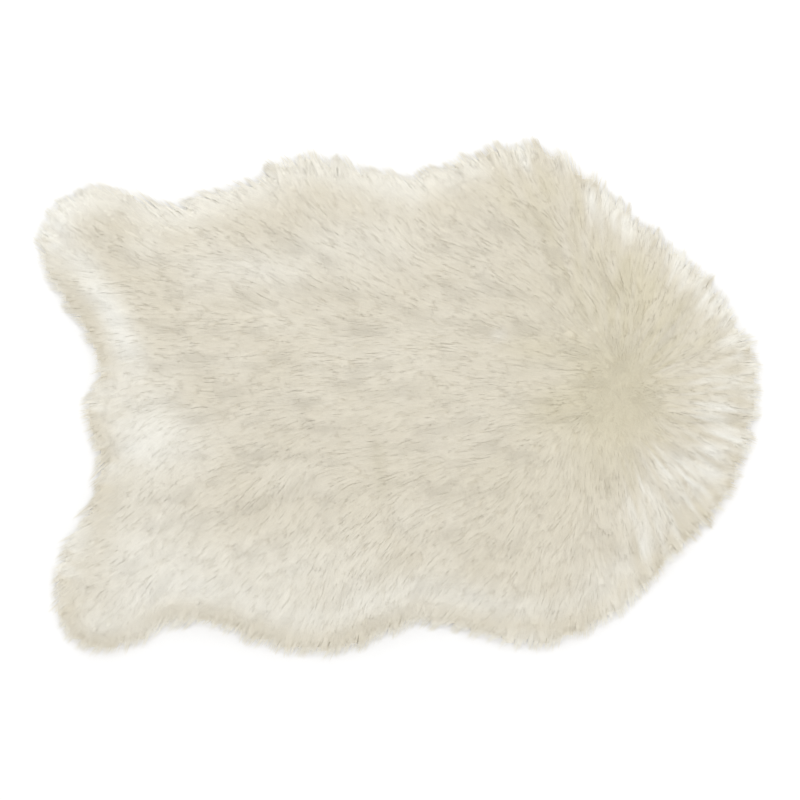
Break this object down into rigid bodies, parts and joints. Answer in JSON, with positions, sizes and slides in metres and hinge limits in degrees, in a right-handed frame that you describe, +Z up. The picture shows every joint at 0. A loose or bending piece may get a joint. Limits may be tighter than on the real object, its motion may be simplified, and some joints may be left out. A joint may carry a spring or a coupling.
{
  "type": "shag rug",
  "caption": "Small long-pile rug cut in the outline of a sheepskin, with the pile combed out from a crown near the neck end.",
  "frame": {"origin": "on the floor under the middle of the rug's bounding box", "axes": "+X from the two hind legs to the round neck end, +Y across the rug, +Z up out of the floor"},
  "size_m": [0.92, 0.652, 0.0534],
  "materials": {
    "pile": "Matte warm cream long pile, combed flat in soft tufts."
  },
  "bodies": {
    "root": {"shag_pile": "pile"}
  },
  "joints": []
}
